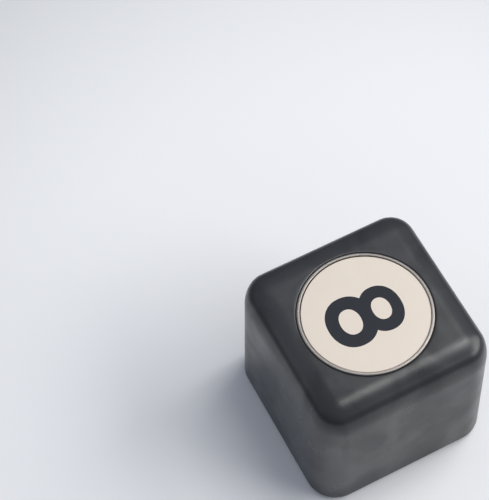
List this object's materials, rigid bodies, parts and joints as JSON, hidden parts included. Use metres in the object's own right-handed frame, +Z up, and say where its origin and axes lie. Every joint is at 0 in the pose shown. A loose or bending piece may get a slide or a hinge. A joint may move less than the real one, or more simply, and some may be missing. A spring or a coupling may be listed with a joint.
{
  "type": "cue chalk cube in a magnetic rubber holder",
  "caption": "Square rubber boot that grips a block of cue chalk, open underneath, with a round pot magnet and a white numbered face disc set in its closed end.",
  "frame": {"origin": "centre of the mouth, on the surface that the holder stands on", "axes": "+Z up out of the numbered end, +Y towards the top of the numeral, +X to the numeral's right"},
  "size_m": [0.0292, 0.0292, 0.0266],
  "materials": {
    "boot_rubber": "satin",
    "adhesive_pad": "matte",
    "cup_plating": "satin",
    "magnet_plating": "polished",
    "adhesive_film": "satin",
    "face_white": "matte",
    "numeral_black": "matte",
    "cue_chalk": "matte",
    "label_paper": "satin"
  },
  "bodies": {
    "chalk": {"chalk_block": "cue_chalk", "chalk_label": "label_paper"},
    "holder": {"holder_boot": "boot_rubber", "mounting_pad": "adhesive_pad", "magnet_cup": "cup_plating", "magnet_disc": "magnet_plating", "face_film": "adhesive_film", "face_disc": "face_white", "numeral_eight": "numeral_black"}
  },
  "joints": [
    {"name": "holder_lift", "type": "slide", "parent": "chalk", "child": "holder", "axis": [0, 0, 1], "range_m": [0, 0.025]}
  ]
}
